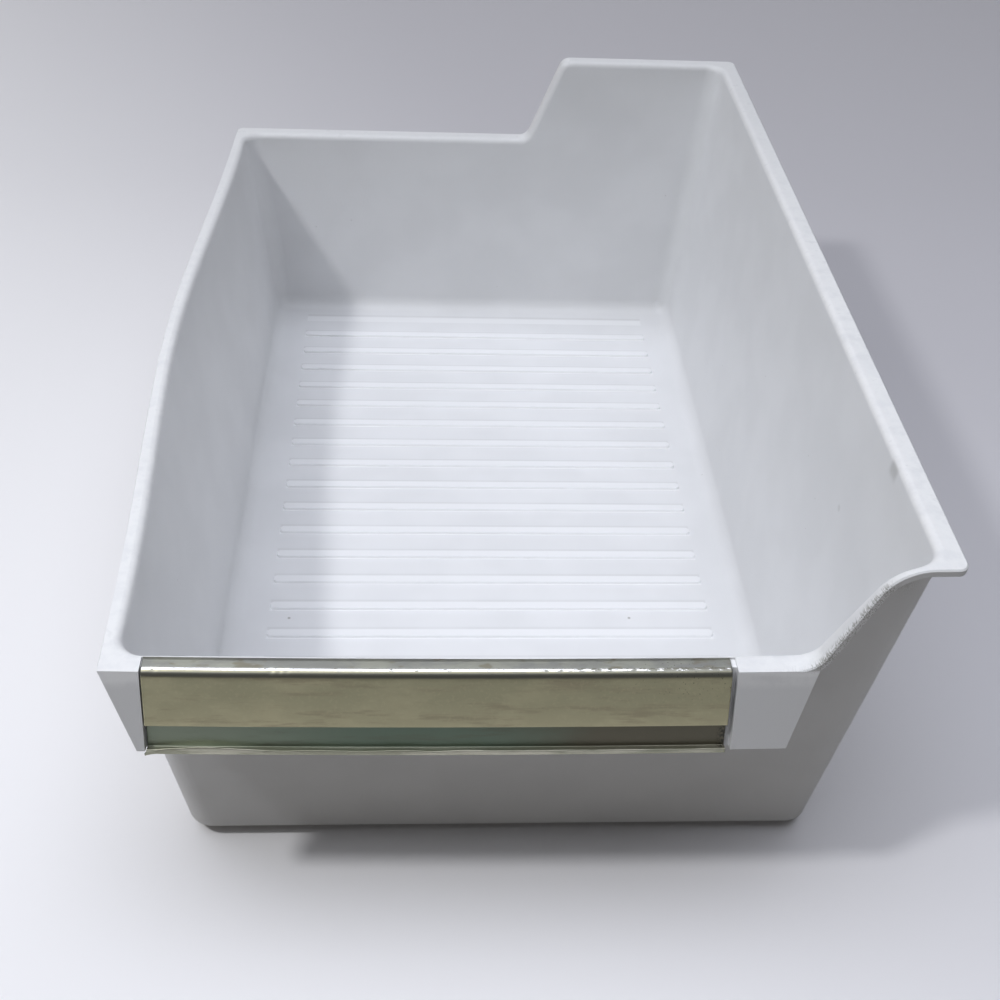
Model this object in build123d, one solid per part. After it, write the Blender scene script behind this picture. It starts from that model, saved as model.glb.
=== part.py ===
from build123d import *
import os
from math import atan, atan2, cos, degrees, radians, sin, tan

# Refrigerator ice bin: a moulded tub with one tall side, and a metal trim clipped on its pull handle.
# Millimetres. The origin is the middle of the flat underside, +X is right, +Y is back, +Z is up.

# Tub: its flat base, the heights of its rim, its walls and their draft angles
BASE_WIDTH = 228.0
BASE_DEPTH = 364.0
LOW_RIM = 105.5
TALL_RIM = 148.0
WALL = 2.2
FLOOR = 2.5
LEFT_DRAFT = 6.3
RIGHT_DRAFT = 4.3
FRONT_DRAFT = 6.0
BACK_DRAFT = 1.0
CORNER_RADIUS = 10.0
BASE_CHAMFER = 6.2
FLOOR_FILLET = 7.0

# Outward bow of the left and the front wall at the low rim, and the height where it begins
BOW_START = 12.0
LEFT_BOW = 8.0
FRONT_BOW = 1.5

# Flange that turns outward round the rim, measured where each wall meets it. It stays upright at the front,
# so the leaning wall leaves a deep lip there at the low rim, which carries the handle
LEFT_FLANGE = 3.0
RIGHT_FLANGE = 5.7
BACK_FLANGE = 5.0
FRONT_FLANGE = 0.85
FLANGE_THICKNESS = 2.5
FLANGE_CORNER = 3.5
RIM_BLEND = 2.8
FLANGE_EDGE = 0.5

# Where the rim climbs from low to tall: a straight step at the back, an S-curve at the front
# The shelf is the tall rim from the climb's head to the right edge, the run is the climb's width
STEP_SHELF = 89.6
STEP_RUN = 16.5
STEP_RADIUS = 6.0
CURVE_SHELF = 21.3
CURVE_RUN = 17.0
CURVE_FOOT_RADIUS = 8.0
CURVE_HEAD_RADIUS = 16.0

# Cross ribs on the flat of the floor, kept clear of its ends and sides
RIB_PITCH = 16.6
RIB_END_MARGIN = 18.0
RIB_SIDE_MARGIN = 9.4
RIB_WIDTH = 4.8
RIB_END_CHAMFER = 1.6
RIB_HEIGHT = 1.0
RIB_DRAFT = 25.0

# Pull handle: an apron that hangs from the front lip and flares away from the wall
APRON_HEIGHT = 28.4
APRON_FLARE = 18.0
APRON_LEFT_INSET = 0.4
APRON_LEFT_TAPER = 10.5
APRON_RIGHT_REACH = 1.5
APRON_RIGHT_TAPER = 8.4
APRON_WEB = 1.9
APRON_CORNER = 1.5

# Metal trim: one bent sheet over the lip and down the apron, with a groove and a hook at its foot
TRIM_LENGTH = 181.8
TRIM_LEFT_MARGIN = 2.4
TRIM_SHEET = 0.8
TRIM_TOP_LEG = 6.2
TRIM_GROOVE = 8.4
TRIM_GROOVE_DEPTH = 2.2
TRIM_FOOT = 1.7
TRIM_HOOK = 3.0
TRIM_EDGE_ROUND = 1.2
SEAT_CLEARANCE = 0.1
LEFT_END_GAP = 0.5
RIGHT_END_GAP = 1.8

# Cutting bodies run past the part by this much, and points closer than this touch
PAST = 20.0
TOUCH = 0.01

rim_left = -BASE_WIDTH / 2 - LOW_RIM * tan(radians(LEFT_DRAFT)) - LEFT_FLANGE
rim_right = BASE_WIDTH / 2 + TALL_RIM * tan(radians(RIGHT_DRAFT)) + RIGHT_FLANGE
rim_front = -BASE_DEPTH / 2 - TALL_RIM * tan(radians(FRONT_DRAFT)) - FRONT_FLANGE
rim_back = BASE_DEPTH / 2 + TALL_RIM * tan(radians(BACK_DRAFT)) + BACK_FLANGE
reach = max(rim_right - rim_left, rim_back - rim_front)
step_head = rim_right - STEP_SHELF
curve_head = rim_right - CURVE_SHELF
curve_foot = curve_head - CURVE_RUN
lip_nose = rim_front - FRONT_BOW
seat_depth = TRIM_SHEET + SEAT_CLEARANCE
recess_depth = TRIM_GROOVE_DEPTH + seat_depth
apron_thickness = recess_depth + APRON_WEB
apron_left = rim_left + APRON_LEFT_INSET
apron_right = curve_foot + APRON_RIGHT_REACH
trim_left = apron_left + APRON_LEFT_TAPER + TRIM_LEFT_MARGIN
trim_right = trim_left + TRIM_LENGTH
recess_left = trim_left - LEFT_END_GAP
recess_right = trim_right + RIGHT_END_GAP


def bowed_edge(start, end, bow):
    """Edge of a plan outline drawn anticlockwise, an arc with its middle pushed outward by bow."""
    start, end = Vector(start), Vector(end)
    outward = (end - start).normalized().cross(Vector(0, 0, 1))
    return ThreePointArc(start, (start + end) / 2 + outward * bow, end)


def bulged_edge(start, end, bow):
    """Edge like a bowed one, but with ends that keep to the straight line between them."""
    if bow == 0:
        return Line(start, end)
    start, end = Vector(start), Vector(end)
    along = (end - start).normalized()
    middle = (start + end) / 2 + along.cross(Vector(0, 0, 1)) * bow
    return Spline(start, middle, end, tangents=(along, along))


def wall_section(z, inset):
    """Plan section of the tub's outside at height z, drawn in by inset."""
    left = -BASE_WIDTH / 2 - z * tan(radians(LEFT_DRAFT)) + inset
    right = BASE_WIDTH / 2 + z * tan(radians(RIGHT_DRAFT)) - inset
    front = -BASE_DEPTH / 2 - z * tan(radians(FRONT_DRAFT)) + inset
    back = BASE_DEPTH / 2 + z * tan(radians(BACK_DRAFT)) - inset
    rise = max(0, z - BOW_START) / (LOW_RIM - BOW_START)
    radius = CORNER_RADIUS - inset
    near, far = front + radius, back - radius
    west, east = left + radius, right - radius
    outline = make_face([
        bulged_edge((west, front), (east, front), FRONT_BOW * rise),
        CenterArc((east, near), radius, -90, 90),
        Line((right, near), (right, far)),
        CenterArc((east, far), radius, 0, 90),
        Line((east, back), (west, back)),
        CenterArc((west, far), radius, 90, 90),
        bulged_edge((left, far), (left, near), LEFT_BOW * rise),
        CenterArc((west, near), radius, 180, 90),
    ])
    return Pos(0, 0, z) * outline


def outer_block(top):
    """Solid tapered block of the tub's outside up to a height, chamfered round its base."""
    base = wall_section(0, BASE_CHAMFER)
    sections = [wall_section(z, 0) for z in (BASE_CHAMFER, BOW_START, top)]
    return loft([base, *sections], ruled=True)


def side_face(lower, upper):
    """Face between two edges of the plan: flat between straight edges, ruled between curved ones."""
    if lower.geom_type == GeomType.LINE:
        return make_face(Polyline(lower @ 0, lower @ 1, upper @ 1, upper @ 0, close=True))
    return Face.make_surface_from_curves(lower, upper)


def inner_block(top):
    """Solid tapered block of the tub's inside, from the floor up to a height, rounded round the floor."""
    floor = wall_section(FLOOR, WALL)
    shoulder = wall_section(BOW_START, WALL)
    sides = [side_face(*pair) for pair in zip(floor.edges(), shoulder.edges())]
    foot = Solid(Shell([floor, shoulder, *sides]))
    foot = fillet(foot.faces().sort_by(Axis.Z)[0].edges(), FLOOR_FILLET)
    return foot + loft([shoulder, wall_section(top, WALL)], ruled=True)


def rim_line(foot, head, foot_radius, head_radius, drop):
    """Height of the rim along X, climbing from foot to head, or a parallel line at a drop below it."""
    half_slope = atan2(TALL_RIM - LOW_RIM, head - foot) / 2
    shift = drop * tan(half_slope)
    points = [
        (-reach, LOW_RIM - drop),
        (foot + shift, LOW_RIM - drop),
        (head + shift, TALL_RIM - drop),
        (reach, TALL_RIM - drop),
    ]
    return FilletPolyline(*points, radius=[foot_radius + drop, head_radius - drop])


def below_line(line, direction):
    """Solid of everything under a rim line, carried from y = 0 along one direction."""
    start, end = line @ 0, line @ 1
    ground = Polyline(end, (end.X, -PAST), (start.X, -PAST), start)
    return extrude(Plane.XZ * make_face([line, ground]), reach, dir=direction)


def below_rim(drop):
    """Everything under the rim or a drop below it: the S-curve at the front, the step at the back."""
    curve = rim_line(curve_foot, curve_head, CURVE_FOOT_RADIUS, CURVE_HEAD_RADIUS, drop)
    step = rim_line(step_head - STEP_RUN, step_head, STEP_RADIUS, STEP_RADIUS, drop)
    return below_line(curve, (0, -1, 0)) + below_line(step, (0, 1, 0))


def touches(edge, faces):
    """Whether an edge's middle lies on any of the faces."""
    return any(face.distance_to(edge @ 0.5) < TOUCH for face in faces)


def rim():
    """Tub walls with the flange turned out round them, before the handle and the ribs."""
    outline = make_face([
        bowed_edge((rim_left, rim_front), (rim_right, rim_front), FRONT_BOW),
        Line((rim_right, rim_front), (rim_right, rim_back)),
        Line((rim_right, rim_back), (rim_left, rim_back)),
        bulged_edge((rim_left, rim_back), (rim_left, rim_front), LEFT_BOW),
    ])
    column = extrude(outline, TALL_RIM + PAST)
    column = fillet(column.edges().filter_by(Axis.Z), FLANGE_CORNER)
    inside = inner_block(TALL_RIM + 2 * PAST)
    flange = column - below_rim(FLANGE_THICKNESS)
    walls = ((outer_block(TALL_RIM + 2 * PAST) + flange) & below_rim(0)) - inside
    rim_edges = [edge for edge in walls.edges() if (edge @ 0.5).Z > LOW_RIM - TOUCH]
    walls = fillet([edge for edge in rim_edges if touches(edge, inside.faces())], RIM_BLEND)
    brim = column.faces().filter_by(Axis.Z, reverse=True)
    crest = [face for face in below_rim(0).faces() if face.normal_at().Z > TOUCH]
    return chamfer([e for e in walls.edges() if touches(e, brim) and touches(e, crest)], FLANGE_EDGE)


def face_point(down, depth):
    """Point of the Y-Z plane, down the apron's outer face from the lip and depth behind that face."""
    flare = radians(APRON_FLARE)
    y = lip_nose - down * sin(flare) + depth * cos(flare)
    z = LOW_RIM - down * cos(flare) - depth * sin(flare)
    return (y, z)


def point_at_height(z, depth):
    """Point of the Y-Z plane at height z, depth behind the apron's outer face."""
    flare = radians(APRON_FLARE)
    return face_point((LOW_RIM - z) / cos(flare) - depth * tan(flare), depth)


def along_front(profile, left, right):
    """Carry a Y-Z profile along the bowed front edge, from x = left to x = right."""
    half_chord = (rim_right - rim_left) / 2
    radius = (half_chord**2 + FRONT_BOW**2) / (2 * FRONT_BOW)
    middle = (rim_left + rim_right) / 2
    axis = Axis((middle, lip_nose + radius, 0), (0, 0, 1))
    swing = 2 * degrees(atan(reach / radius))
    start = (Pos(middle, 0, 0) * (Plane.YZ * profile)).rotate(axis, -swing / 2)
    length = Pos((left + right) / 2, lip_nose, LOW_RIM) * Box(right - left, reach, reach)
    return revolve(start, axis, swing) & length


def apron():
    """Plate that hangs from the lip, flared outward, narrower at its foot and thin beside the trim."""
    section = make_face(Polyline(
        (lip_nose, LOW_RIM),
        face_point(APRON_HEIGHT, 0),
        face_point(APRON_HEIGHT, apron_thickness),
        point_at_height(LOW_RIM, apron_thickness),
        close=True,
    ))
    foot = LOW_RIM - APRON_HEIGHT
    outline = make_face(Polyline(
        (apron_left, LOW_RIM),
        (apron_left + APRON_LEFT_TAPER, foot),
        (apron_right - APRON_RIGHT_TAPER, foot),
        (apron_right, LOW_RIM),
        close=True,
    ))
    plate = along_front(section, -reach, reach) & extrude(Plane.XZ * outline, reach)
    foot_ends = plate.faces().sort_by(Axis.Z)[0].edges().sort_by(SortBy.LENGTH)[:2]
    plate = fillet(foot_ends, APRON_CORNER)
    plate = fillet(plate.faces().sort_by(Axis.Y)[0].edges(), FLANGE_EDGE)
    pocket = make_face(Polyline(
        point_at_height(LOW_RIM - FLANGE_THICKNESS, WALL),
        face_point(APRON_HEIGHT + PAST, WALL),
        face_point(APRON_HEIGHT + PAST, apron_thickness + TOUCH),
        point_at_height(LOW_RIM - FLANGE_THICKNESS, apron_thickness + TOUCH),
        close=True,
    ))
    left_pocket = along_front(pocket, -reach, recess_left - WALL)
    right_pocket = along_front(pocket, recess_right + WALL, reach)
    return plate - left_pocket - right_pocket


def trim_recess():
    """Space in the lip and the apron that takes the trim."""
    seat = LOW_RIM - seat_depth
    rear = lip_nose + TRIM_TOP_LEG + SEAT_CLEARANCE
    section = make_face(Polyline(
        (rear, LOW_RIM + PAST),
        (rear, seat),
        point_at_height(seat, recess_depth),
        face_point(APRON_HEIGHT + PAST, recess_depth),
        face_point(APRON_HEIGHT + PAST, -PAST),
        (lip_nose - PAST, LOW_RIM + PAST),
        close=True,
    ))
    return along_front(section, recess_left, recess_right)


def floor_ribs():
    """Row of low cross ribs with drafted sides, centred on the floor."""
    border = WALL + FLOOR_FILLET
    length = BASE_WIDTH - 2 * border - 2 * RIB_SIDE_MARGIN
    gaps = int((BASE_DEPTH - 2 * border - 2 * RIB_END_MARGIN) / RIB_PITCH)
    root = FLOOR / 2
    spread = root * tan(radians(RIB_DRAFT))
    foot = Rectangle(length + 2 * spread, RIB_WIDTH + 2 * spread)
    foot = chamfer(foot.vertices(), RIB_END_CHAMFER)
    rib = extrude(foot, root + RIB_HEIGHT, taper=RIB_DRAFT)
    return [Pos(0, (i - gaps / 2) * RIB_PITCH, FLOOR - root) * rib for i in range(gaps + 1)]


def bin_tub():
    """The whole moulding: walls, flange, handle and ribs in one piece."""
    return rim() + apron() - trim_recess() + floor_ribs()


def front_trim():
    """Bent sheet that lies on the lip, covers the apron and hooks under its foot."""
    foot = APRON_HEIGHT + seat_depth
    groove_foot = foot - TRIM_FOOT
    groove_top = groove_foot - TRIM_GROOVE
    hook_depth = apron_thickness + seat_depth
    nose = FilletPolyline(
        (lip_nose + TRIM_TOP_LEG, LOW_RIM),
        (lip_nose, LOW_RIM),
        face_point(groove_top, 0),
        radius=TRIM_EDGE_ROUND,
    )
    skirt = Polyline(
        face_point(groove_top, 0),
        face_point(groove_top, TRIM_GROOVE_DEPTH),
        face_point(groove_foot, TRIM_GROOVE_DEPTH),
        face_point(groove_foot, 0),
        face_point(foot, 0),
        face_point(foot, hook_depth),
        face_point(foot - TRIM_HOOK, hook_depth),
    )
    sheet = offset(nose + skirt, TRIM_SHEET, side=Side.LEFT, kind=Kind.INTERSECTION)
    return along_front(make_face(sheet), trim_left, trim_right)


os.makedirs("parts", exist_ok=True)
export_step(bin_tub(), "parts/bin_tub.step")
export_step(front_trim(), "parts/front_trim.step")
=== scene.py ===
# %% [markdown]
# # A refrigerator ice bin
# The bin is one white plastic moulding with a strip of aged metal clipped on its handle. The moulding is
# the CAD part as it is. The strip is made again here, as a bent sheet with dents.

import math

import bpy
import numpy as np
from mathutils import Matrix, Vector


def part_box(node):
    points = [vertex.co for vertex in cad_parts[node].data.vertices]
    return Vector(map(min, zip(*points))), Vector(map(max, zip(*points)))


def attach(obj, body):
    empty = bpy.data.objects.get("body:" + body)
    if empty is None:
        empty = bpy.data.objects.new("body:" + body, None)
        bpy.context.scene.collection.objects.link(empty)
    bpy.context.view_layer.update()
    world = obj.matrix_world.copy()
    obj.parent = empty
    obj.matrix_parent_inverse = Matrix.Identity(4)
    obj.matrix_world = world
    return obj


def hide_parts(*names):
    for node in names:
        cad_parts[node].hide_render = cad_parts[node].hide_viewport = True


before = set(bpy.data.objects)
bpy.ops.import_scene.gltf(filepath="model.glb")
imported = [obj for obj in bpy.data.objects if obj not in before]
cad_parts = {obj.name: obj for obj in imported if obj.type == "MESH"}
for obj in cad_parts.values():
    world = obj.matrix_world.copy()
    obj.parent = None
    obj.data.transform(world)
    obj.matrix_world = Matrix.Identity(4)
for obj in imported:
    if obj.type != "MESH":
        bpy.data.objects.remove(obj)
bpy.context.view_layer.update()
MM = 0.001

# %% [markdown]
# The camera looks down into the bin from the front, a little from the left and slightly tilted. Its axes
# are built from three angles, so each angle can be changed alone.

# %% Camera
CAMERA_PLACE = (-30.96 * MM, -470.86 * MM, 402.27 * MM)
LOOK_DOWN, LOOK_ASIDE, TILT = (math.radians(a) for a in (39.883, -4.584, 3.283))
LENS = 46.8

ahead = Vector((
    -math.sin(LOOK_ASIDE) * math.cos(LOOK_DOWN),
    math.cos(LOOK_ASIDE) * math.cos(LOOK_DOWN),
    -math.sin(LOOK_DOWN),
))
level = Vector((math.cos(LOOK_ASIDE), math.sin(LOOK_ASIDE), 0))
upright = level.cross(ahead)
right = math.cos(TILT) * level + math.sin(TILT) * upright
up = math.cos(TILT) * upright - math.sin(TILT) * level

camera = bpy.data.objects.new("camera", bpy.data.cameras.new("camera"))
camera.data.lens = LENS
camera.data.clip_start = 0.01
camera.matrix_world = Matrix.Translation(CAMERA_PLACE) @ Matrix((right, up, -ahead)).transposed().to_4x4()
scene = bpy.context.scene
scene.collection.objects.link(camera)
scene.camera = camera
scene.view_settings.view_transform = "Standard"
print("camera at", [round(v, 3) for v in camera.location], "with a lens of", LENS, "mm")

# %% [markdown]
# Materials here are sums of masks and noise. A small class wraps a shader socket, so that a mask can be
# written as `1 - mask` or `mask * 0.3`. Every other node comes from its one `node` method.


# %% Shader sums
class Wire:
    """A socket of a shader tree that can be used in sums."""

    def __init__(self, tree, socket=None):
        self.tree = tree
        self.socket = socket

    def node(self, kind, inputs=(), output=0, **settings):
        """Make a node: settings first, then each input as a number, a colour or a Wire."""
        made = self.tree.nodes.new(kind)
        for name, value in settings.items():
            setattr(made, name, value)
        for name, value in dict(inputs).items():
            if isinstance(value, Wire):
                self.tree.links.new(value.socket, made.inputs[name])
            else:
                made.inputs[name].default_value = value
        return Wire(self.tree, made.outputs[output])

    def sum(self, operation, first, second=0.0):
        return self.node("ShaderNodeMath", {0: first, 1: second}, operation=operation)

    def __add__(self, other):
        return self.sum("ADD", self, other)

    def __sub__(self, other):
        return self.sum("SUBTRACT", self, other)

    def __rsub__(self, other):
        return self.sum("SUBTRACT", other, self)

    def __mul__(self, other):
        return self.sum("MULTIPLY", self, other)

    def __truediv__(self, other):
        return self.sum("DIVIDE", self, other)

    def __rtruediv__(self, other):
        return self.sum("DIVIDE", other, self)

    __radd__ = __add__
    __rmul__ = __mul__

    def ramp(self, start, end, low=0.0, high=1.0):
        """Smooth step from low to high as the value goes from start to end."""
        inputs = {"Value": self, "From Min": start, "From Max": end, "To Min": low, "To Max": high}
        return self.node("ShaderNodeMapRange", inputs, interpolation_type="SMOOTHSTEP")

    def band(self, start, end, soft):
        """1 between start and end, and 0 outside, with soft edges."""
        return self.ramp(start - soft, start + soft) * self.ramp(end - soft, end + soft, 1.0, 0.0)

    def mix(self, first, second):
        """First colour where this mask is 0, second where it is 1."""
        inputs = {"Factor": self, 6: first, 7: second}
        return self.node("ShaderNodeMix", inputs, 2, data_type="RGBA", clamp_factor=True)


def place(wire):
    """Point on the object in millimetres, whole and as its three parts."""
    point = wire.node("ShaderNodeTexCoord", output="Object")
    point = wire.node("ShaderNodeVectorMath", {0: point, "Scale": 1 / MM}, operation="SCALE")
    return point, [wire.node("ShaderNodeSeparateXYZ", {0: point}, axis) for axis in "XYZ"]


def distance(point, spot):
    """Millimetres from a point to a fixed spot."""
    return point.node("ShaderNodeVectorMath", {0: point, 1: spot}, "Value", operation="DISTANCE")


def noise(point, size, detail=2.0, stretch=(1, 1, 1), roughness=0.5):
    """Noise of a given feature size in millimetres, stretched along some axes."""
    scale = Vector([1 / (size * s) for s in stretch])
    point = point.node("ShaderNodeVectorMath", {0: point, 1: scale}, operation="MULTIPLY")
    inputs = {"Vector": point, "Scale": 1.0, "Detail": detail, "Roughness": roughness}
    return point.node("ShaderNodeTexNoise", inputs, "Fac")


def new_material(name):
    """Material with one Principled shader, and a Wire to start its sums from."""
    material = bpy.data.materials.new(name)
    material.use_nodes = True
    return material, material.node_tree.nodes["Principled BSDF"], Wire(material.node_tree)


def plug(wire, socket):
    wire.tree.links.new(wire.socket, socket)


def bump(height, distance, strength=1.0):
    inputs = {"Height": height, "Distance": distance, "Strength": strength}
    return height.node("ShaderNodeBump", inputs, "Normal")


print("shader helpers ready")

# %% [markdown]
# The bin stands on a pale sheet of paper that sweeps up behind it. A curved sheet is simpler than a floor
# and a wall, and shows no line between them. To the camera and in reflections the paper is as pale as it
# should look, with a painted falloff of light: paler toward the lamps on the left front, greyer away from
# them. To all other rays it is greyer, so it throws little light up on the bin.

# %% Paper backdrop
PAPER_PAINTED_LIT = (0.88, 0.87, 0.875, 1)
PAPER_PAINTED_DIM = (0.625, 0.615, 0.645, 1)
PAPER_BOUNCE = (0.31, 0.293, 0.265, 1)
SHEET_HALF_WIDTH = 2.0
SHEET_NEAR = -1.5
SWEEP_START = 0.34
SWEEP_RADIUS = 0.5
SHEET_TOP = 2.0
SWEEP_STEPS = 24
PALE_END, GREY_END, BACKWARD = -240.0, 380.0, 0.7

line = [(SHEET_NEAR, 0.0), (SWEEP_START, 0.0)]
for i in range(1, SWEEP_STEPS + 1):
    turn = math.pi / 2 * i / SWEEP_STEPS
    line.append((SWEEP_START + SWEEP_RADIUS * math.sin(turn), SWEEP_RADIUS * (1 - math.cos(turn))))
line.append((SWEEP_START + SWEEP_RADIUS, SHEET_TOP))
points = [(x, y, z) for y, z in line for x in (-SHEET_HALF_WIDTH, SHEET_HALF_WIDTH)]
faces = [(2 * i, 2 * i + 1, 2 * i + 3, 2 * i + 2) for i in range(len(line) - 1)]
mesh = bpy.data.meshes.new("backdrop")
mesh.from_pydata(points, [], faces)
mesh.polygons.foreach_set("use_smooth", [True] * len(faces))
backdrop = bpy.data.objects.new("backdrop", mesh)
scene.collection.objects.link(backdrop)

paper, shader, wire = new_material("backdrop_paper")
camera_ray, glossy_ray, through_ray = (
    wire.node("ShaderNodeLightPath", output=name)
    for name in ("Is Camera Ray", "Is Glossy Ray", "Is Transmission Ray")
)
seen = wire.sum("MAXIMUM", wire.sum("MAXIMUM", camera_ray, glossy_ray), through_ray)
_, (x, y, _) = place(wire)
# Painted falloff of light: the paper is paler toward the lamps at the left front and greyer away from them.
away = (x + BACKWARD * y).ramp(PALE_END, GREY_END)
plug(seen.mix(PAPER_BOUNCE, away.mix(PAPER_PAINTED_LIT, PAPER_PAINTED_DIM)), shader.inputs["Base Color"])
shader.inputs["Roughness"].default_value = 0.9
shader.inputs["Specular IOR Level"].default_value = 0.2
mesh.materials.append(paper)
print("backdrop of", len(faces), "faces")

# %% [markdown]
# The light is that of a photo table: a bright ceiling over dim surroundings, a wide soft box on the left,
# and one small lamp that gives the rim its soft shadow on the bin's floor. The ceiling is a gradient of
# the world, because a ring of lamps would only add noise. The room itself looks pale to the camera alone.

# %% Light
CEILING_MIDDLE = Vector((-0.03, 0.15, 0.98)).normalized()
CEILING_LIGHT = (2.50, 2.60, 2.88, 1)
SURROUNDINGS = (0.088, 0.086, 0.085, 1)
ROOM_SEEN = (0.60, 0.60, 0.62, 1)
CEILING_EDGE, CEILING_CORE = 0.74, 0.99
LAMP_COLOUR = (0.97, 0.98, 1.0)

world = bpy.data.worlds.new("room")
scene.world = world
world.use_nodes = True
wire = Wire(world.node_tree)
look = wire.node("ShaderNodeTexCoord", output="Generated")
ends = {0: look, 1: CEILING_MIDDLE}
height = wire.node("ShaderNodeVectorMath", ends, "Value", operation="DOT_PRODUCT")
room = height.ramp(CEILING_EDGE, CEILING_CORE).mix(SURROUNDINGS, CEILING_LIGHT)
room = wire.node("ShaderNodeLightPath", output="Is Camera Ray").mix(room, ROOM_SEEN)
plug(room, world.node_tree.nodes["Background"].inputs["Color"])


def soft_light(name, spot, shape, size, watts):
    """Area light at a spot, aimed at the middle of the bin."""
    light = bpy.data.objects.new(name, bpy.data.lights.new(name, "AREA"))
    light.data.shape = shape
    light.data.size = size
    light.data.energy = watts
    light.data.color = LAMP_COLOUR
    light.location = spot
    light.rotation_euler = (-Vector(spot)).to_track_quat("-Z", "Y").to_euler()
    scene.collection.objects.link(light)
    print(name, "of", watts, "W at", spot)


soft_light("key_lamp", (-0.76, -0.42, 1.24), "DISK", 0.13, 6.3)
soft_light("soft_box", (-0.65, 0.05, 0.95), "SQUARE", 0.80, 1.2)

# %% [markdown]
# The moulding is a satin white plastic with a fine grain. Nothing is painted on it by hand: soft noise
# gives the uneven white of an old part, and a cell texture scatters a few dark specks, because its cells
# can be made as rare as they are on the real one.

# %% Plastic colour
PLASTIC = (0.81, 0.815, 0.825, 1)
PLASTIC_DULL = (0.775, 0.78, 0.79, 1)
SPECK = (0.34, 0.33, 0.31, 1)
SPECK_CELL = 17.0
SPECK_RADIUS = 0.34
GRAIN, CLOUD = 0.8, 38.0
FLOOR_TOP, RIB_TOP = 2.5, 3.5
SINGLE_SPECKS = ((-86.7, -73.5, FLOOR_TOP), (-12.0, 112.3, RIB_TOP), (60.1, -73.4, FLOOR_TOP))

plastic, shader, wire = new_material("bin_plastic")
point, (x, y, z) = place(wire)
grain = noise(point, GRAIN)
clouds = noise(point, CLOUD)
cells = wire.node("ShaderNodeVectorMath", {0: point, "Scale": 1 / SPECK_CELL}, operation="SCALE")
to_speck = wire.node("ShaderNodeTexVoronoi", {"Vector": cells, "Scale": 1.0}, "Distance") * SPECK_CELL
specks = to_speck.ramp(SPECK_RADIUS * 0.5, SPECK_RADIUS, 0.6, 0.0)
plastic_colour = clouds.ramp(0.35, 0.65).mix(PLASTIC, PLASTIC_DULL)
for spot in SINGLE_SPECKS:
    specks = specks + distance(point, spot).ramp(0.3, 0.9, 0.8, 0.0)
plastic_colour = specks.mix(plastic_colour, SPECK)
print("plastic with a speck about every", SPECK_CELL, "mm")

# %% [markdown]
# The cross ribs of the floor carry painted light: their tops are painted paler, their front slopes carry a
# painted highlight, and a grey line of painted shade lies behind each one. The ribs repeat, so one distance
# that wraps at their pitch masks all of them. The face of the pull handle is darkened as painted shade, and
# its mask is the part in front of the wall.

# %% Painted light on the ribs, painted shade on the handle
RIB_PITCH, RIB_HALF_WIDTH, RIB_HALF_LENGTH = 16.6, 2.4, 95.4
RIB_PAINTED_LIT = (0.87, 0.875, 0.885, 1)
RIB_FRONT_PAINTED_HIGHLIGHT = (0.95, 0.955, 0.96, 1)
RIB_PAINTED_SHADE = (0.715, 0.718, 0.722, 1)
HANDLE_PAINTED_SHADE = (0.68, 0.683, 0.69, 1)
HANDLE_Y, HANDLE_FOOT = -199.5, 70.0

facing = wire.node("ShaderNodeNewGeometry", output="Normal")
facing_y, facing_up = (wire.node("ShaderNodeSeparateXYZ", {0: facing}, axis) for axis in "YZ")
over_floor = z.band(FLOOR_TOP - 0.3, RIB_TOP + 0.3, 0.1) * x.band(-RIB_HALF_LENGTH, RIB_HALF_LENGTH, 0.4)
from_rib = wire.node("ShaderNodeMath", {0: y, 1: RIB_PITCH / 2, 2: -RIB_PITCH / 2}, operation="WRAP")
on_rib = over_floor * from_rib.band(-RIB_HALF_WIDTH - 0.4, RIB_HALF_WIDTH - 0.3, 0.2)
behind_rib = over_floor * from_rib.band(RIB_HALF_WIDTH + 0.2, RIB_HALF_WIDTH + 1.8, 0.4)
# Rib tops are painted paler as painted light, and their front-facing slopes get a painted highlight.
plastic_colour = on_rib.mix(plastic_colour, RIB_PAINTED_LIT)
plastic_colour = (on_rib * facing_y.ramp(-0.2, -0.6)).mix(plastic_colour, RIB_FRONT_PAINTED_HIGHLIGHT)
# The grey line behind each rib is painted shade, broken up by the cloud noise.
plastic_colour = (behind_rib * clouds.ramp(0.3, 0.6, 0.6, 1.0)).mix(plastic_colour, RIB_PAINTED_SHADE)
# The front-facing handle face is darkened as painted shade.
on_handle = y.ramp(HANDLE_Y, HANDLE_Y - 0.5) * facing_y.ramp(-0.6, -0.8)
on_handle = on_handle * z.ramp(HANDLE_FOOT, HANDLE_FOOT + 2.0)
plastic_colour = on_handle.mix(plastic_colour, HANDLE_PAINTED_SHADE)
print("ribs with painted light and shade every", RIB_PITCH, "mm")

# %% [markdown]
# The rim is scuffed where the bin slides in and out, and its top is greyed toward the back as painted
# shade. On the S-curve at the front its outer edge has frayed into short dark hatches. A mask picks faces
# of the rim by their height and by how far they look up, and noise that is stretched across the edge makes
# the hatches. A nick and a smudge on the tall side are masks of their own.

# %% Rim wear and painted shade
RIM_PALE = (0.89, 0.892, 0.89, 1)
RIM_GREY_AND_PAINTED_SHADE = (0.735, 0.74, 0.745, 1)
FRAY_DARK = (0.30, 0.295, 0.27, 1)
LIP_EDGE_Y, LIP_MIDDLE_X, LIP_RADIUS = -199.905, 1.09, 5611.4
CURVE_LOW, CURVE_HIGH = 106.0, 142.0
CURVE_X, CURVE_Y = 80.0, -190.0
RIM_FROM = 99.0
NICK_X, NICK_Y, NICK_Z = (122.4, 123.0), (-150.0, -144.0), 140.0
SMUDGE = (119.7, -119.7, 105.0)

on_rim = facing_up.ramp(0.15, 0.5) * z.ramp(RIM_FROM, RIM_FROM + 3.0)
scuffs = noise(point, 7.0, 3.0, roughness=0.7)
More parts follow.
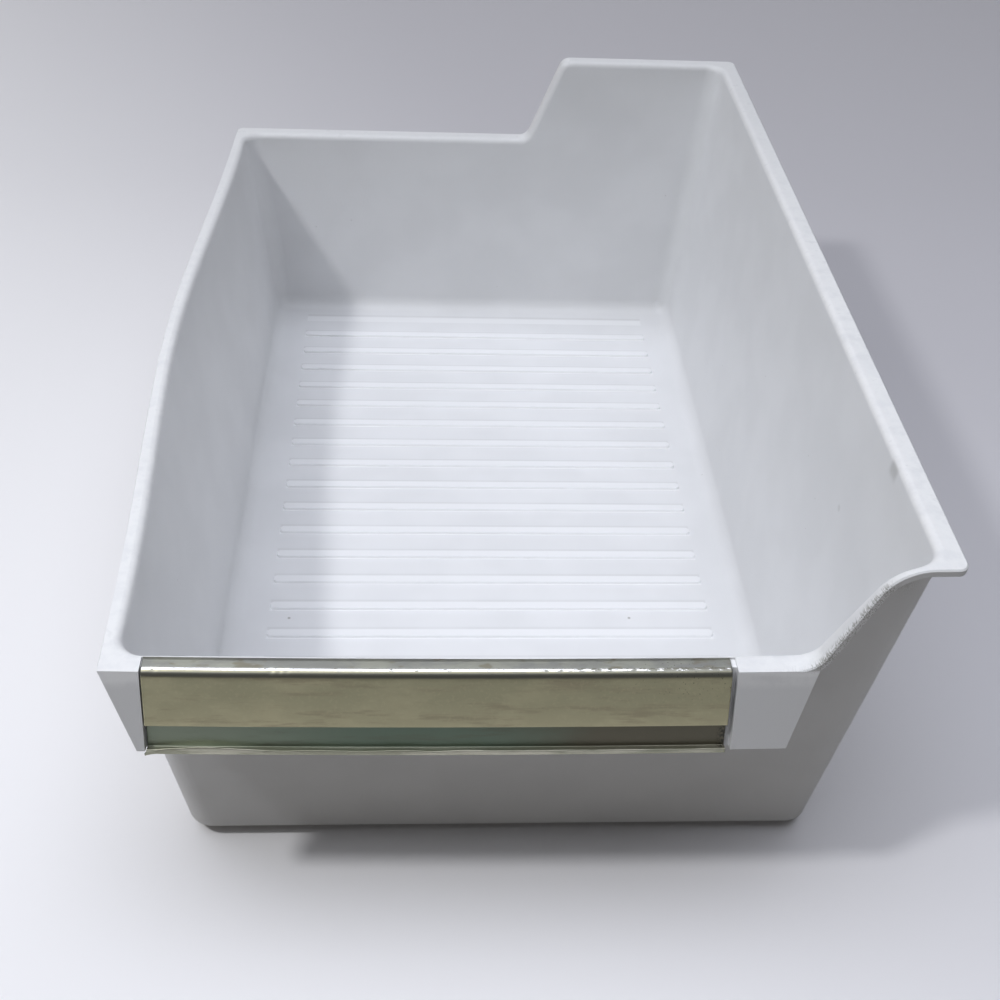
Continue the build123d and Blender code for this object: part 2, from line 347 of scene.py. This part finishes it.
# The grey noise patches on the rim are scuffs; the grey that grows toward the back is painted shade.
painted_shade_to_back = y.ramp(-60.0, 160.0)
plastic_colour = (on_rim * scuffs.ramp(0.30, 0.60, 0.3, 0.9)).mix(plastic_colour, RIM_PALE)
plastic_colour = (on_rim * (scuffs.ramp(0.60, 0.72, 0.0, 0.5) + painted_shade_to_back * 0.7)).mix(plastic_colour, RIM_GREY_AND_PAINTED_SHADE)

off_middle = x - LIP_MIDDLE_X
behind_edge = y - LIP_EDGE_Y - off_middle * off_middle / (2 * LIP_RADIUS)
hatch = noise(point, 0.42, 1.0, stretch=(1, 6, 1)) + scuffs * 0.5
on_curve = z.band(CURVE_LOW, CURVE_HIGH, 2.0) * x.ramp(CURVE_X, CURVE_X + 10.0)
on_curve = on_curve * y.ramp(CURVE_Y, CURVE_Y - 5.0)
fray = on_curve * behind_edge.ramp(0.4, 3.0, 1.0, 0.0) * hatch.ramp(0.70, 0.84)
plastic_colour = (fray * 0.75).mix(plastic_colour, FRAY_DARK)

nick = x.band(*NICK_X, 0.3) * y.band(*NICK_Y, 1.5) * z.ramp(NICK_Z, NICK_Z + 3.0)
smudge = noise(point, 1.5, stretch=(1, 1, 2)) * distance(point, SMUDGE).ramp(0.6, 1.8, 1.2, 0.0)
plastic_colour = (nick * 0.4 + smudge * 0.4).mix(plastic_colour, FRAY_DARK)
print("rim frayed between", CURVE_LOW, "and", CURVE_HIGH, "mm up the S-curve")

# %% [markdown]
# The plastic is satin, not glossy, and its grain is too fine to model. So the same fine noise varies the
# roughness a little and feeds a weak bump, and the scuffed rim is a bit rougher than the rest.

# %% Plastic finish
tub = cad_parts["bin_tub"]
plug(plastic_colour, shader.inputs["Base Color"])
plug(grain.ramp(0.3, 0.7, 0.40, 0.50) + on_rim * 0.08, shader.inputs["Roughness"])
plug(bump(grain, 0.05 * MM, 0.7), shader.inputs["Normal"])
tub.data.materials.clear()
tub.data.materials.append(plastic)
print("plastic on", tub.name, "with", len(tub.data.polygons), "faces")

# %% [markdown]
# The trim is a thin strip of metal that was bent over the lip and down the handle. A profile is drawn
# once in the side view and carried along the bowed front as a grid of points, so that each point knows
# how far it lies down the face and behind it. Those two numbers stay on the mesh for the metal's masks.

# %% Trim profile
NOSE_Y, NOSE_Z = -199.905, 105.5
FLARE = math.radians(18.0)
TOP_LEG = 6.2
FACE_HEIGHT = 29.3
GROOVE_TOP, GROOVE_FOOT = 19.2, 27.6
GROOVE_DEPTH = 2.2
HOOK_DEPTH = 5.9
HOOK_RISE = 3.0
NOSE_ROUND = 3.0
LONGEST_SPAN = 1.6


def face_point(down, depth):
    """Point of the Y-Z plane, down the handle's face from the lip and depth behind that face."""
    y = NOSE_Y - down * math.sin(FLARE) + depth * math.cos(FLARE)
    z = NOSE_Z - down * math.cos(FLARE) - depth * math.sin(FLARE)
    return np.array((y, z))


def rounded(points, radii, steps=6):
    """Polyline with its inner corners rounded."""
    out = [points[0]]
    for before, corner, after, radius in zip(points, points[1:], points[2:], radii):
        to, away = before - corner, after - corner
        to, away = to / np.linalg.norm(to), away / np.linalg.norm(away)
        half = math.acos(np.clip(to @ away, -1, 1)) / 2
        reach = radius / math.tan(half)
        first, last = corner + to * reach, corner + away * reach
        for i in range(steps + 1):
            t = i / steps
            out.append((1 - t) ** 2 * first + 2 * t * (1 - t) * corner + t**2 * last)
    out.append(points[-1])
    return out


def subdivided(points, longest):
    """Polyline with long spans cut into shorter ones."""
    out = [points[0]]
    for a, b in zip(points, points[1:]):
        parts = max(1, math.ceil(np.linalg.norm(b - a) / longest))
        out += [a + (b - a) * (i + 1) / parts for i in range(parts)]
    return np.array(out)


corners = [
    np.array((NOSE_Y + TOP_LEG, NOSE_Z)),
    np.array((NOSE_Y, NOSE_Z)),
    face_point(GROOVE_TOP, 0),
    face_point(GROOVE_TOP, GROOVE_DEPTH),
    face_point(GROOVE_FOOT, GROOVE_DEPTH),
    face_point(GROOVE_FOOT, 0),
    face_point(FACE_HEIGHT, 0),
    face_point(FACE_HEIGHT, HOOK_DEPTH),
    face_point(FACE_HEIGHT - HOOK_RISE, HOOK_DEPTH),
]
corner_rounds = [NOSE_ROUND, 0.35, 0.4, 0.4, 0.35, 0.5, 0.6]
profile = subdivided(rounded(corners, corner_rounds), LONGEST_SPAN)
aside = profile - (NOSE_Y, NOSE_Z)
down = -aside[:, 0] * math.sin(FLARE) - aside[:, 1] * math.cos(FLARE)
depth = aside[:, 0] * math.cos(FLARE) - aside[:, 1] * math.sin(FLARE)
print("trim profile of", len(profile), "points")

# %% [markdown]
# A strip like this is never quite flat. The sheet is moved along its own face by slow waves, the nose has
# a few knocks, the foot is bent up a little on the left, and its left corner ends in a burr. Moving the
# points keeps these as real shapes, so the reflections break on them.

# %% Trim dents
TRIM_COLUMNS = 520
FACE_MIDDLE = 9.0
KNOCKS = ((-76.0, 0.9, 0.24), (-73.4, 0.7, 0.20), (-71.2, 0.6, 0.14), (-111.5, 1.0, 0.10))
FOOT_BENDS = ((-99.0, 13.0, 1.0), (-114.0, 4.0, -0.5))
BURR_LENGTH, BURR_OUT, BURR_DOWN = 3.0, 0.7, 0.9
trim_low, trim_high = (np.array(v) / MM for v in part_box("front_trim"))
columns = np.linspace(trim_low[0], trim_high[0], TRIM_COLUMNS)
chance = np.random.default_rng(11)


def swell(spot, width):
    """Smooth hump along the strip."""
    return np.exp(-(((columns - spot) / width) ** 2))


def waves(shortest, longest, count):
    """Slow random waves along the strip, between -1 and 1."""
    lengths = chance.uniform(shortest, longest, count)
    starts = chance.uniform(0, 2 * math.pi, count)
    return np.mean([np.sin(2 * math.pi * columns / n + s) for n, s in zip(lengths, starts)], axis=0)


def rows_near(values, spot, width):
    """Smooth weight of the rows of the profile around a value."""
    return np.exp(-(((values - spot) / width) ** 2))


nose_rows = rows_near(down, 0.0, 0.9) * (depth < 3.0)
face_rows = rows_near(down, FACE_MIDDLE, 6.0) * (depth < 1.0)
foot_rows = rows_near(down, GROOVE_FOOT, 0.5) * (depth < GROOVE_DEPTH * 0.7)
knocks = sum(deep * swell(spot, width) for spot, width, deep in KNOCKS)
ragged = 0.07 * waves(0.9, 2.6, 7) * np.clip((columns - 8.0) / 40.0, 0, 1)
inward = np.outer(knocks + ragged, nose_rows) + np.outer(0.10 * waves(18.0, 55.0, 4), face_rows)
bends = sum(high * swell(spot, width) for spot, width, high in FOOT_BENDS)
lift = np.outer(bends + 0.25 * waves(9.0, 40.0, 5), foot_rows)
from_left = np.clip(1 - (columns - columns[0]) / BURR_LENGTH, 0, 1) ** 2
burr = np.outer(from_left, np.clip((down - GROOVE_FOOT - 0.3) / 1.2, 0, 1) * (depth < 1.5))

grid = np.zeros((TRIM_COLUMNS, len(profile), 3))
grid[:, :, 0] = columns[:, None] - BURR_OUT * burr
grid[:, :, 1] = profile[:, 0] + inward * math.cos(FLARE) + lift * math.sin(FLARE)
grid[:, :, 1] += ((columns - LIP_MIDDLE_X) ** 2 / (2 * LIP_RADIUS))[:, None]
grid[:, :, 2] = profile[:, 1] - inward * math.sin(FLARE) + lift * math.cos(FLARE) - BURR_DOWN * burr
print(f"deepest knock {inward.max():.2f} mm, highest lift of the foot {lift.max():.2f} mm")

# %% [markdown]
# The grid of points becomes one mesh, with a face between each four neighbours. A Solidify modifier gives
# the sheet its thickness toward the handle, so that its cut ends show a real edge.

# %% Trim sheet
SHEET = 0.7
rows = len(profile)
faces = [
    (c * rows + r, c * rows + r + 1, (c + 1) * rows + r + 1, (c + 1) * rows + r)
    for c in range(TRIM_COLUMNS - 1)
    for r in range(rows - 1)
]
mesh = bpy.data.meshes.new("trim_sheet")
mesh.from_pydata((grid.reshape(-1, 3) * MM).tolist(), [], faces)
for name, values in (("down", down), ("depth", depth)):
    mesh.attributes.new(name, "FLOAT", "POINT").data.foreach_set("value", np.tile(values, TRIM_COLUMNS))
mesh.polygons.foreach_set("use_smooth", [True] * len(faces))
trim = bpy.data.objects.new("trim_sheet", mesh)
scene.collection.objects.link(trim)
thick = trim.modifiers.new("thickness", "SOLIDIFY")
thick.thickness = SHEET * MM
thick.offset = -1.0
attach(trim, "root")
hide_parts("front_trim")
print("trim of", len(faces), "faces")

# %% [markdown]
# The metal is an aged champagne finish. Its face is a stained khaki that gets paler toward the groove.
# The nose carries a painted highlight, a narrow band of bright base colour where the ceiling's reflection
# falls, worn through most toward the right. The groove keeps dirt, green on the left and brown on the
# right, and the foot's upward ledge is painted pale cream as a painted highlight, with olive stains.

# %% Trim colours
KHAKI = (0.31, 0.295, 0.188, 1)
KHAKI_PALE = (0.40, 0.368, 0.235, 1)
KHAKI_BROWN = (0.275, 0.245, 0.16, 1)
TOP_OLIVE = (0.47, 0.475, 0.40, 1)
TOP_GREY = (0.36, 0.362, 0.335, 1)
WORN_METAL_PAINTED_HIGHLIGHT = (0.90, 0.90, 0.88, 1)
NOSE_DARK_REFLECTION_AND_DIRT = (0.19, 0.19, 0.175, 1)
GROOVE_GREEN = (0.245, 0.280, 0.215, 1)
GROOVE_TEAL = (0.150, 0.195, 0.148, 1)
GROOVE_BROWN = (0.142, 0.132, 0.098, 1)
FOOT_PAINTED_HIGHLIGHT = (0.49, 0.475, 0.385, 1)
FOOT_OLIVE = (0.31, 0.31, 0.235, 1)
PIT = (0.055, 0.053, 0.045, 1)
STREAK, BLOTCH, MOTTLE = 3.2, 10.0, 1.1

metal, shader, wire = new_material("trim_metal")
point, (x, _, _) = place(wire)
down_face = wire.node("ShaderNodeAttribute", output="Fac", attribute_name="down")
behind_face = wire.node("ShaderNodeAttribute", output="Fac", attribute_name="depth")
streaks = noise(point, STREAK, 5.0, stretch=(8, 1, 1), roughness=0.65)
blotches = noise(point, BLOTCH, 4.0, stretch=(2, 1, 1), roughness=0.6)
mottle = noise(point, MOTTLE, 3.0)

face_colour = (down_face.ramp(7.0, 18.5) * 0.55 + blotches.ramp(0.45, 0.65) * 0.45).mix(KHAKI, KHAKI_PALE)
face_colour = (streaks.ramp(0.50, 0.66) * 0.75).mix(face_colour, KHAKI_BROWN)
face_colour = (mottle.ramp(0.52, 0.70) * 0.30).mix(face_colour, KHAKI_PALE)
top_colour = (blotches.ramp(0.42, 0.58) * 0.8 + x.ramp(-60.0, 60.0) * 0.2).mix(TOP_OLIVE, TOP_GREY)
top_colour = (noise(point, 4.0, stretch=(2, 1, 1)).ramp(0.56, 0.68) * 0.6).mix(top_colour, KHAKI_BROWN)
groove_colour = x.ramp(-110.0, -40.0).mix(GROOVE_GREEN, GROOVE_TEAL)
groove_colour = (x + 30.0 * blotches).ramp(0.0, 45.0).mix(groove_colour, GROOVE_BROWN)
groove_colour = (streaks.ramp(0.5, 0.7) * 0.35).mix(groove_colour, GROOVE_BROWN)
# The cream of the upward-facing foot is a painted highlight, streaked with olive stains.
foot_highlight_and_stains = streaks.ramp(0.42, 0.60).mix(FOOT_PAINTED_HIGHLIGHT, FOOT_OLIVE)
print("trim colours ready")

# %% [markdown]
# Masks made from the two numbers on the mesh choose a colour for each part of the strip. Wear eats into
# the painted highlight of the nose toward the right, with dark pits below it. A dark band below the nose
# is a painted reflection of the dim surroundings, and where wear breaks the highlight the nose is dirty.
# Dirt makes the groove rougher, and rubbing makes the nose smoother.

# %% Trim metal
NOSE_BACK, NOSE_FRONT, NOSE_UNDER = -0.64, -0.20, 1.7
WEAR_END = 60.0
on_top = down_face.ramp(-0.75, -0.55, 1.0, 0.0)
in_groove = behind_face.ramp(0.5, 1.3) * down_face.band(GROOVE_TOP - 0.3, GROOVE_FOOT + 0.3, 0.2)
on_foot = down_face.ramp(GROOVE_FOOT - 0.25, GROOVE_FOOT + 0.1)
worn_away = noise(point, 0.9, 3.0, stretch=(2.5, 1, 1), roughness=0.7) + x.ramp(-5.0, WEAR_END) * 0.25
# The bright nose band is a painted highlight where the ceiling's reflection falls, broken by wear noise.
painted_highlight_band = down_face.band(NOSE_BACK, NOSE_FRONT, 0.08) * worn_away.ramp(0.55, 0.70, 1.0, 0.0)
# The dark band below the nose is a painted reflection of the dim surroundings; where wear breaks the
# highlight it is dirt.
painted_dark_reflection = down_face.band(0.15, NOSE_UNDER, 0.35)
dirty_nose = down_face.band(NOSE_BACK, 0.1, 0.1) * worn_away.ramp(0.50, 0.62)
dark_reflection_and_dirt = wire.sum("MAXIMUM", painted_dark_reflection, dirty_nose)
pits = noise(point, 0.6, 1.0).ramp(0.69, 0.74) * x.ramp(5.0, WEAR_END) * down_face.ramp(4.0, 13.0, 1.0, 0.0)
groove_end = in_groove * x.ramp(63.0, 66.0) * noise(point, 0.8, 2.0).ramp(0.42, 0.55)

colour = on_top.mix(face_colour, top_colour)
colour = in_groove.mix(colour, groove_colour)
colour = on_foot.mix(colour, foot_highlight_and_stains)
colour = (dark_reflection_and_dirt * 0.75).mix(colour, NOSE_DARK_REFLECTION_AND_DIRT)
colour = painted_highlight_band.mix(colour, WORN_METAL_PAINTED_HIGHLIGHT)
colour = (pits * 0.6 + groove_end * 0.9).mix(colour, PIT)
plug(colour, shader.inputs["Base Color"])
roughness = 0.30 + streaks * 0.10 + in_groove * 0.12 + on_top * 0.08 - painted_highlight_band * 0.16 + pits * 0.3
plug(roughness, shader.inputs["Roughness"])
brushing = noise(point, 0.25, 2.0, stretch=(40, 1, 1))
plug(bump(brushing * 0.5 + mottle * 0.5 - pits * 2.0, 0.03 * MM, 0.6), shader.inputs["Normal"])
shader.inputs["Metallic"].default_value = 0.85
trim.data.materials.append(metal)
print("metal on", trim.name)
